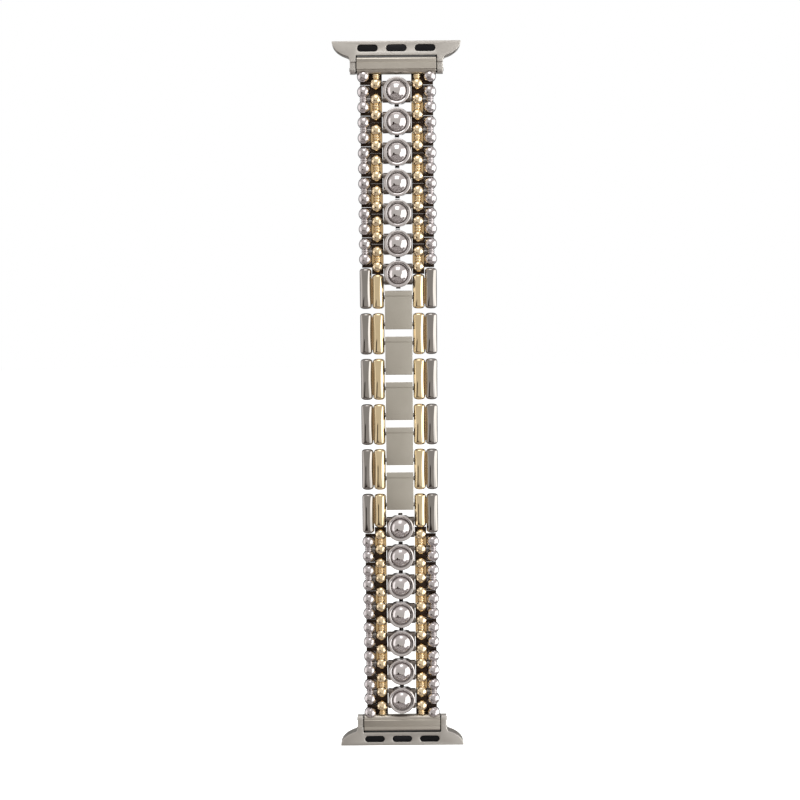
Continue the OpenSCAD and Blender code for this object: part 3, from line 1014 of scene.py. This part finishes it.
@dataclass
class CentrePlate(Assembly):
    """A flat sheet folded round a pin at both ends."""

    width: float = 6.85
    pin_z: float = 3.4
    front: float = -1.3
    end_high: float = 5.05
    end_low: float = 4.6
    line_over: float = 0.28
    lip: float = 0.5
    lean: float = 0.12
    roll_r: float = 1.28
    sheet: float = 0.85
    score: float = 0.2
    bore_r: float = 0.55
    corner: float = 0.12
    strip_z: float = 2.1
    strip_slope: float = 0.07
    score_lip: float = 0.02
    score_end: float = 0.3
    edge: float = 0.05

    def folded_end(self, end: float, lean: float) -> list[Point]:
        """Outline of an upper end, from the front corner round the pin to the sheet's inner face.

        Args:
            end: Height of the end above the plate's centre.
            lean: How far the end leans back.

        Returns:
            Depth and height of each point.
        """
        corner = arc((self.front + lean + self.corner, end - self.corner), self.corner, 180, 90, 4)
        meet = math.degrees(math.acos((self.front + self.lip) / self.roll_r))
        outer = [(self.front + self.lip, end)] + arc((0, self.pin_z), self.roll_r, meet, -60, 18)
        inner_y = self.front + self.sheet
        close = 360 - math.degrees(math.acos(inner_y / self.bore_r))
        inner = arc((0, self.pin_z), self.bore_r, -60, close, 18)
        return corner + outer + inner

    def blank(self) -> Blank:
        """The sheet between two folded ends: its top strip and a sloping strip meet at a scored line.

        Returns:
            The blank.
        """
        made = Blank()
        front, line, half_score = self.front, self.pin_z + self.line_over, self.score / 2
        strips = [
            (front, self.strip_z), (front + self.strip_slope, line - half_score),
            (front + self.score, line - half_score / 2), (front + self.score, line + half_score / 2),
            (front + self.score_lip, line + half_score), (front, line + self.score_end),
        ]
        upper = self.folded_end(self.end_high, self.lean)
        lower = [(y, -z) for y, z in reversed(self.folded_end(self.end_low, 0.0))]
        made.swept(strips + upper + lower, -self.width / 2, self.width / 2, self.edge)
        return made

    def build(self) -> None:
        """Builds every centre plate, from the top down."""
        parts = (("sheet", self.blank(), Finishes.steel),)
        for node in numbered("centre_plate_"):
            self.bench.set_parts(node, parts, Half.UPPER, height_of(node), 20)


@dataclass
class EndLink(Assembly):
    """An end link: a folded cover over a tube, with a lug and an ear on each side."""

    width: float = 19.6
    bar_z: float = 3.525
    cover_front: float = 1.7
    cover_t: float = 0.8
    cover_low: float = 0.2
    cover_high: float = 2.9
    cover_chamfer: float = 0.1
    cover_edge: float = 0.07
    groove_rise: float = 0.12
    groove_depth: float = 0.16
    # the rib that joins the cover to the tube: its ends, its lower and upper edge, and how far it is sunk in
    rib_in: float = 0.05
    rib_low: float = 0.03
    rib_high: float = 0.6
    rib_sunk: float = 0.1
    fork_edge: float = 0.06
    tube_r: float = 1.2
    band: float = 1.35
    neck_r: float = 0.75
    ring_places: Point = (1.62, 2.05)
    ring_r: float = 0.13
    ring_in: float = 0.01
    ring_foot: float = 0.03
    root_z: float = 2.3
    lug_lip: float = 0.725
    tube_bore: float = 0.8
    tube_edge: float = 0.1
    play: float = 0.02

    def cover(self) -> Blank:
        """The folded cover with its rolled top band, and the tube for the spring bar.

        Returns:
            The blank.
        """
        made = Blank()
        half = self.width / 2
        front, back = -self.cover_front, -self.cover_front + self.cover_t
        low, high = self.bar_z - self.cover_low, self.bar_z + self.cover_high
        groove = high - self.band
        roll = arc((front + self.cover_t, high - self.cover_t), self.cover_t, 165, -30, 14)
        chamfer, sunk = self.cover_chamfer, self.rib_sunk
        outline = [(front + chamfer, low), (front, low + chamfer), (front, groove - self.groove_rise),
                   (front + self.groove_depth, groove), *roll, (back, groove), (back, low)]
        made.swept(outline, -half, half, self.cover_edge)
        bore, edge = self.tube_bore, self.tube_edge
        tube = [(bore, -half), (self.tube_r - edge, -half), (self.tube_r, -half + edge),
                (self.tube_r, half - edge), (self.tube_r - edge, half), (bore, half), (bore, -half)]
        made.turned(tube, Axis.X, Vector((0, 0, self.bar_z)), 40)
        rib = half - self.rib_in
        made.block((-rib, back - sunk, low + self.rib_low), (rib, -sunk, low + self.rib_high), sunk)
        return made

    def tube_seat(self) -> list[Point]:
        """Where a lug or an ear fits round the tube, from behind it to below it."""
        return arc((0, self.bar_z), self.tube_r + self.play, 0, -62, 8)

    def fork(self) -> Blank:
        """The lugs and ears of both sides.

        Returns:
            The blank.
        """
        c = self.columns
        made = Blank()
        last = -math.degrees(math.acos(c.back_rear / c.back_r))
        rear = [(c.back_rear, self.bar_z), *self.tube_seat(), (c.back_front, self.root_z)]
        lug = [(c.back_front, -self.lug_lip), (0, -self.lug_lip), *arc((0, 0), c.back_r, -90, last, 10)]
        made.swept(lug + rear, *c.gold_edges, self.fork_edge)
        made.swept(c.silver_foot() + rear, *c.silver_edges, self.fork_edge)
        return made.mirrored()

    def gold(self) -> Blank:
        """The first gold bead of both sides, with a ringed neck up to the cover.

        Returns:
            The blank.
        """
        c = self.columns
        tuck = math.degrees(math.asin(self.neck_r / c.gold_r))
        ball = arc((0, 0), c.gold_r, -90, 90 - tuck, 22)
        neck: list[Point] = []
        for middle in self.ring_places:
            foot, ring_x = self.ring_r + self.ring_foot, self.neck_r + self.ring_r - self.ring_in
            neck += [(self.neck_r, middle - foot), *arc((ring_x, middle), self.ring_r, -90, 90, 6),
                     (self.neck_r, middle + foot)]
        flat = self.bar_z - self.tube_r - self.play
        return self.turned_pair([*ball, *neck, (self.neck_r, flat), (0, flat)], c.gold_x)

    def build(self, half: Half) -> None:
        """Builds the end link of one half.

        Args:
            half: Which way up it is.
        """
        c, node = self.columns, f"{half.side}_end_link"
        gold = f"{node}_gold_beads"
        height = height_of(gold)
        # the first silver bead is tucked under the cover
        silver = self.turned_pair(arc((0, 0), c.silver_r, -90, 90, 40), c.silver_x, c.pin_z)
        pin, fork, rear = Pins(((0.0, c.pin_reach),)).blank(), self.fork(), c.plain_rear
        # the fork's front carries painted shade, its rear a lighter painted shade
        parts = (
            ("cover", self.cover(), Finishes.folded), ("fork", fork.between(-3, rear), Finishes.recess),
            ("fork_rear", fork.between(rear, 3), Finishes.silver_shaded_side),
            ("silver_beads", silver, Finishes.silver_cast), ("pin", pin, Finishes.pin),
        )
        self.bench.set_parts(node, parts, half, height, 30)
        self.bench.set_piece(f"{gold}_pair", self.gold(), Finishes.gold_cast, node, gold, half, height)


@dataclass
class Connector(Assembly):
    """A connector: a sliding end with pockets and two arms, with pads and a lock button."""

    width: float = 31.8
    slug_low: float = 3.2
    slug_len: float = 3.5
    thickness: float = 3.0
    arms: float = 23.0
    inner: float = 10.05
    arm_r: float = 1.15
    pill_w: float = 5.1
    pill_h: float = 1.65
    pitch: float = 7.1
    pocket: float = 1.4
    root: float = 1.6
    sweep_in: float = 2.8
    sweep_over: float = 0.7
    bend_out: float = 0.6
    bend_drop: float = 0.19
    top_r: float = 1.0
    overlap: float = 0.5
    pad_in: float = 0.3
    pad_fit: float = 0.02
    button_in: float = 0.2
    button_rear: float = 0.72
    button_fit: float = 0.16
    pill_edge: float = 0.12
    body_edge: float = 0.14
    # corners of the right arm's painted shadow sheet and of the one under the sliding end
    arm_shade: tuple[Corner, Corner] = ((9.83, -1.0, -0.9), (10.07, 1.0, 3.2))
    end_shade: tuple[Corner, Corner] = ((-10.05, -1.3, 3.15), (10.05, 1.3, 3.22))

    def plan(self) -> list[Point]:
        """Outline of the sliding end from the front, its ends sweeping in and out along the arms.

        Returns:
            Distance to the side and height of each point.
        """
        spare = (self.width - self.arms) / 2
        sweep_w, sweep_h = spare + self.sweep_in, self.slug_len + self.sweep_over
        top = self.slug_low + self.slug_len
        last = math.acos(1 - (spare - self.bend_out) / sweep_w)
        turns = [last * i / 16 for i in range(17)]
        side = [
            Vector((self.width / 2 - sweep_w * (1 - math.cos(t)), top - sweep_h * math.sin(t))) for t in turns
        ]
        bend, corner = side[-1], Vector((self.arms / 2, side[-1].y - self.bend_drop))
        foot = Vector((self.arms / 2, self.slug_low - self.root))
        for i in range(1, 11):
            t = i / 10
            side.append((1 - t) ** 2 * bend + 2 * t * (1 - t) * corner + t * t * foot)
        points = [(p.x, p.y) for p in side] + [(self.inner, foot.y), (self.inner, self.slug_low)]
        return points + [(-x, z) for x, z in reversed(points)]

    def pills(self, places: tuple[float, ...], near: float, far: float, fit: float, edge: float) -> Blank:
        """Pill-shaped solids across the middle of the sliding end, from one depth to another.

        Args:
            places: Their distances to the side.
            near: Depth of their front.
            far: Depth of their rear.
            fit: How much smaller they are than a pocket.
            edge: Radius of their rounded edges, or 0.

        Returns:
            The blank.
        """
        made = Blank()
        middle, radius = self.slug_low + self.slug_len / 2, (self.pill_h - fit) / 2
        half = (self.pill_w - self.pill_h) / 2
        for place in places:
            right = arc((place + half, middle), radius, -90, 90, 10)
            left = arc((place - half, middle), radius, 90, 270, 10)
            made.swept(right + left, near, far, edge, Axis.Y)
        return made

    def body(self) -> Blank:
        """The sliding end and its arms in one, with the pockets cut into the front.

        Returns:
            The blank.
        """
        half = self.thickness / 2
        made = Blank()
        made.swept(self.plan(), -half, half, 0.0, Axis.Y)
        top = self.slug_low + self.slug_len
        long_edges = [
            e for e in made.bm.edges
            if all(abs(v.co.z - top) < 1e-4 for v in e.verts) and Blank.runs_along(e, Axis.X)
        ]
        bevelled(made.bm, long_edges, self.top_r, 8)
        arms = Blank()
        end = arc((0, 0), self.arm_r, 180, 360, 14)
        outline = end + [(self.arm_r, self.slug_low + self.overlap), (-self.arm_r, self.slug_low + self.overlap)]
        arms.swept(outline, self.inner, self.arms / 2, 0.0)
        cut = self.pills((-self.pitch, 0.0, self.pitch), -half - 1, -half + self.pocket, 0.0, 0.0)
        return made.joined(arms.mirrored(), "UNION").joined(cut, "DIFFERENCE", self.body_edge)

    def shade(self) -> Blank:
        """Dark sheets of painted shadow in the gaps round the end link.

        Returns:
            The blank.
        """
        made = Blank()
        made.block(*self.arm_shade, 0.03)
        made.mirrored()
        made.block(*self.end_shade, 0.02)
        return made

    def build(self, half: Half) -> None:
        """Builds the connector of one half.

        Args:
            half: Which way up it is.
        """
        bench, side = self.bench, half.side
        node, lock = f"{side}_connector", f"{side}_lock_button"
        height = height_of(f"{side}_spring_bar")
        front = -self.thickness / 2
        pads = self.pills(
            (-self.pitch, self.pitch), front + self.pad_in, front + self.pocket, self.pad_fit, self.pill_edge,
        )
        button = self.pills(
            (0.0,), front + self.button_in, front + self.button_rear, self.button_fit, self.pill_edge,
        )
        bench.set_piece(f"{node}_body", self.body(), Finishes.connector, node, node, half, height, 30)
        bench.set_piece(f"{node}_shade", self.shade(), Finishes.gap, node, node, half, height)
        bench.set_piece(f"{node}_pads_pair", pads, Finishes.pad, node, f"{node}_pads", half, height)
        bench.set_piece(f"{lock}_face", button, Finishes.button, lock, lock, half, height)
        bench.dress_node(f"{side}_spring_bar", Finishes.pin)
        bench.dress_node(f"{side}_lock_spring", Finishes.pin)


@dataclass
class Directions:
    """Shares of the room by the direction looked in, each from 0 to 1."""

    tree: bpy.types.NodeTree
    way: bpy.types.NodeSocket

    def past(self, normal: Vector, start: float, soft: float) -> bpy.types.NodeSocket:
        """Share past a plane: start is the height along its normal at one half, soft half the height of the rise."""
        along = add_node(self.tree, "ShaderNodeVectorMath", {0: self.way, 1: tuple(normal)}, operation="DOT_PRODUCT")
        return add_node(
            self.tree, "ShaderNodeMapRange",
            {"Value": along.outputs["Value"], "From Min": start - soft, "From Max": start + soft},
            interpolation_type="SMOOTHSTEP",
        ).outputs["Result"]

    def side(self, azimuth: float, soft: float, tilt: float = 0.0, sign: float = 1.0) -> bpy.types.NodeSocket:
        """Share to the right (or left) of an upright plane."""
        turn = math.radians(azimuth)
        return self.past(Vector((math.cos(turn), math.sin(turn), tilt)) * sign, 0.0, soft)

    def below(self, elevation: float, soft: float) -> bpy.types.NodeSocket:
        """Share below an elevation."""
        return self.past(Vector((0, 0, -1)), math.sin(math.radians(-elevation)), soft)

    def round(self, azimuth: float, elevation: float, radius: float, soft: float) -> bpy.types.NodeSocket:
        """Share in a round patch.

        Args:
            azimuth: Azimuth of its middle in degrees, from the camera's side to the right.
            elevation: Elevation of its middle in degrees.
            radius: Its radius in degrees.
            soft: Half the height over which its edge fades.

        Returns:
            The share's socket.
        """
        turn, rise = math.radians(azimuth), math.radians(elevation)
        middle = Vector((math.sin(turn) * math.cos(rise), -math.cos(turn) * math.cos(rise), math.sin(rise)))
        return self.past(middle, math.cos(math.radians(radius)), soft)

    def both(self, *shares: bpy.types.NodeSocket) -> bpy.types.NodeSocket:
        """Product of some shares.

        Args:
            shares: Sockets of the shares.

        Returns:
            The product's socket.
        """
        product = shares[0]
        for other in shares[1:]:
            product = add_node(self.tree, "ShaderNodeMath", {0: product, 1: other}, operation="MULTIPLY").outputs[0]
        return product


@dataclass
class Studio:
    """A white studio: a pale floor, soft lamps and the photograph's camera."""

    middle: float = -89.3
    distance: float = 282.1
    tilt: float = 4.7
    roll: float = 0.51
    aim_x: float = 0.17
    aim_z: float = 0.43
    lens: float = 50.0
    floor_drop: float = 60.0
    room_white: float = 2.2

    def camera(self) -> None:
        """A camera a little above the middle of the bracelet, looking at its face."""
        data = bpy.data.cameras.new("front_camera")
        data.lens = self.lens
        data.clip_start, data.clip_end = 0.01, 20
        camera = bpy.data.objects.new("front_camera", data)
        bpy.context.collection.objects.link(camera)
        aim = Vector((self.aim_x, 0, self.middle + self.aim_z)) * MM
        tilt = math.radians(self.tilt)
        back = Vector((0, -math.cos(tilt), math.sin(tilt)))
        turn = (-back).to_track_quat("-Z", "Y").to_matrix().to_4x4()
        spot = Matrix.Translation(aim + back * self.distance * MM)
        camera.matrix_world = spot @ turn @ Matrix.Rotation(math.radians(-self.roll), 4, "Z")
        bpy.context.scene.camera = camera

    def floor(self) -> None:
        """A wide pale floor below the bracelet, which keeps its shadow."""
        made = bmesh.new()
        bmesh.ops.create_grid(made, x_segments=1, y_segments=1, size=3)
        low = (2 * self.middle - self.floor_drop) * MM
        bmesh.ops.translate(made, vec=(0, 0, low), verts=made.verts)
        mesh = bpy.data.meshes.new("studio_floor")
        made.to_mesh(mesh)
        made.free()
        floor = bpy.data.objects.new("studio_floor", mesh)
        floor.visible_glossy = False
        bpy.context.collection.objects.link(floor)
        material = bpy.data.materials.new("floor_paper_white")
        material.use_nodes = True
        tree = material.node_tree
        tree.nodes.clear()
        path = add_node(tree, "ShaderNodeLightPath")
        paper = add_node(tree, "ShaderNodeBsdfDiffuse", {"Color": linear_colour("#F4F4F2")})
        glow = add_node(tree, "ShaderNodeEmission", {"Color": (1, 1, 1, 1), "Strength": 0.45})
        both = add_node(tree, "ShaderNodeAddShader", {0: paper.outputs[0], 1: glow.outputs[0]})
        mix = add_node(
            tree, "ShaderNodeMixShader",
            {0: path.outputs["Is Camera Ray"], 1: paper.outputs[0], 2: both.outputs[0]},
        )
        add_node(tree, "ShaderNodeOutputMaterial", {"Surface": mix.outputs[0]})
        mesh.materials.append(material)

    def lamp(
        self, name: str, place: Vector, size: tuple[float, float], watts: float, mirrored: bool = False,
    ) -> None:
        """Adds one soft lamp that faces the middle of the bracelet.

        Args:
            name: Name of the lamp.
            place: Where it stands, in metres.
            size: Its width and height in metres.
            watts: Its power.
            mirrored: Whether polished metal shows it.
        """
        data = bpy.data.lights.new(name, "AREA")
        data.shape = "RECTANGLE"
        data.size, data.size_y = size
        data.energy = watts
        lamp = bpy.data.objects.new(name, data)
        lamp.visible_glossy = mirrored
        lamp.visible_camera = False
        bpy.context.collection.objects.link(lamp)
        aim = Vector((0, 0, self.middle * MM))
        lamp.matrix_world = Matrix.Translation(place) @ (aim - place).to_track_quat("-Z", "Y").to_matrix().to_4x4()

    def world(self) -> None:
        """White to the camera, a soft white light on dull metal, and the room in reflections."""
        world = bpy.data.worlds.new("studio_world")
        world.use_nodes = True
        bpy.context.scene.world = world
        tree = world.node_tree
        tree.nodes.clear()
        path = add_node(tree, "ShaderNodeLightPath")
        room = self.room(tree, add_node(tree, "ShaderNodeTexCoord").outputs["Generated"])
        white = (1, 1, 1, 1)
        mirror, fill, seen = (
            add_node(tree, "ShaderNodeBackground", {"Color": colour, "Strength": strength}).outputs[0]
            for colour, strength in ((room, self.room_white), (white, 0.75), (white, 1.0))
        )
        lit = add_node(tree, "ShaderNodeMixShader", {0: path.outputs["Is Glossy Ray"], 1: fill, 2: mirror})
        both = add_node(tree, "ShaderNodeMixShader", {0: path.outputs["Is Camera Ray"], 1: lit.outputs[0], 2: seen})
        add_node(tree, "ShaderNodeOutputWorld", {"Surface": both.outputs[0]})

    def room(self, tree: bpy.types.NodeTree, way: bpy.types.NodeSocket) -> bpy.types.NodeSocket:
        """Colour of the room by direction, as a share of its brightest wall.

        The camera's side is grey, a white wall stands to the right and a pale one to the left, the ceiling
        is white, and a dark stand and a speckled table lie low in front.

        Args:
            tree: The world's node tree.
            way: The direction looked in.

        Returns:
            The colour's socket.
        """
        wobble = add_node(tree, "ShaderNodeTexNoise", {"Vector": way, "Scale": 5.0, "Detail": 2.0})
        shift = add_node(
            tree, "ShaderNodeVectorMath", {0: wobble.outputs["Color"], 1: (0.5, 0.5, 0.5)}, operation="SUBTRACT",
        )
        bent = add_node(
            tree, "ShaderNodeVectorMath", {0: shift.outputs[0], 1: (0.06, 0.06, 0.06), 2: way},
            operation="MULTIPLY_ADD",
        ).outputs[0]
        grain = add_node(tree, "ShaderNodeTexNoise", {"Vector": way, "Scale": 11.0, "Detail": 3.0})
        speckle = add_node(
            tree, "ShaderNodeMapRange",
            {"Value": grain.outputs["Fac"], "From Min": 0.44, "From Max": 0.56, "To Min": 0.05},
        ).outputs["Result"]
        to = Directions(tree, bent)
        # the share, colour and brightness of each wall, which covers those before it
        walls = (
            (to.both(to.below(-9, 0.06), speckle), "#DCD6D0", 1.05),
            (to.both(to.side(-58, 0.06), to.side(-8, 0.06, sign=-1), to.below(-20, 0.05)), "#3A2A24", 1.0),
            (to.both(to.side(-45, 0.03), to.side(-27, 0.03, sign=-1), to.below(-5.5, 0.015)), "#2E201C", 1.0),
            (to.side(-70, 0.05, sign=-1), "#FFFAFA", 1.5),
            (to.side(38, 0.03, -0.25), "#FFFDFB", 3.2),
            (to.below(-30, 0.06), "#E4DCDA", 1.0),
            (to.both(to.below(-24, 0.05), speckle), "#5C5250", 1.0),
            (to.round(50, -24, 17, 0.03), "#FFFFFF", 2.0),
            (to.past(Vector((0, 0, 1)), math.sin(math.radians(28)), 0.12), "#FFF8F6", 0.75),
            (to.round(-5, 72, 20, 0.08), "#FFFBFB", 1.1),
            (to.past(Vector((0, 1, 0)), 0.35, 0.1), "#FFFFFF", 0.9),
            (to.both(to.side(136, 0.08), to.side(170, 0.06, sign=-1)), "#4A4442", 1.0),
            (to.both(to.side(-170, 0.06), to.side(-136, 0.08, sign=-1)), "#4A4442", 1.0),
        )
        colour = tuple(Vector(linear_colour("#FFFAF6")) * (0.69 / self.room_white))
        for amount, shade, level in walls:
            tone = tuple(Vector(linear_colour(shade)) * (level / self.room_white))
            colour = add_node(tree, "ShaderNodeMix", {0: amount, 6: colour, 7: tone}, data_type="RGBA").outputs[2]
        return colour

    def build(self) -> None:
        """Sets the whole studio."""
        self.camera()
        self.floor()
        self.world()
        self.lamp("key_softbox", Vector((0.28, -0.5, 0.25)), (0.35, 0.35), 4.0)
        self.lamp("fill_softbox", Vector((-0.5, -0.4, 0.0)), (0.3, 0.6), 2.0)
        self.lamp("top_softbox", Vector((-0.01, -0.09, 0.09)), (0.09, 0.1), 0.05, mirrored=True)
        bpy.context.scene.view_settings.view_transform = "Standard"


def main() -> None:
    """Builds the studio, then every sub-assembly from the top down."""
    logging.basicConfig(level=logging.INFO, format="%(message)s")
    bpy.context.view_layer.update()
    Studio().build()
    bench = Bench()
    Connector(bench).build(Half.UPPER)
    EndLink(bench).build(Half.UPPER)
    DomeLink(bench).build()
    BeadRow(bench).build()
    RodRow(bench).build()
    CentrePlate(bench).build()
    EndLink(bench).build(Half.LOWER)
    Connector(bench).build(Half.LOWER)
    LOG.info("%d pieces in all", bench.count)


if __name__ == "__main__":
    main()
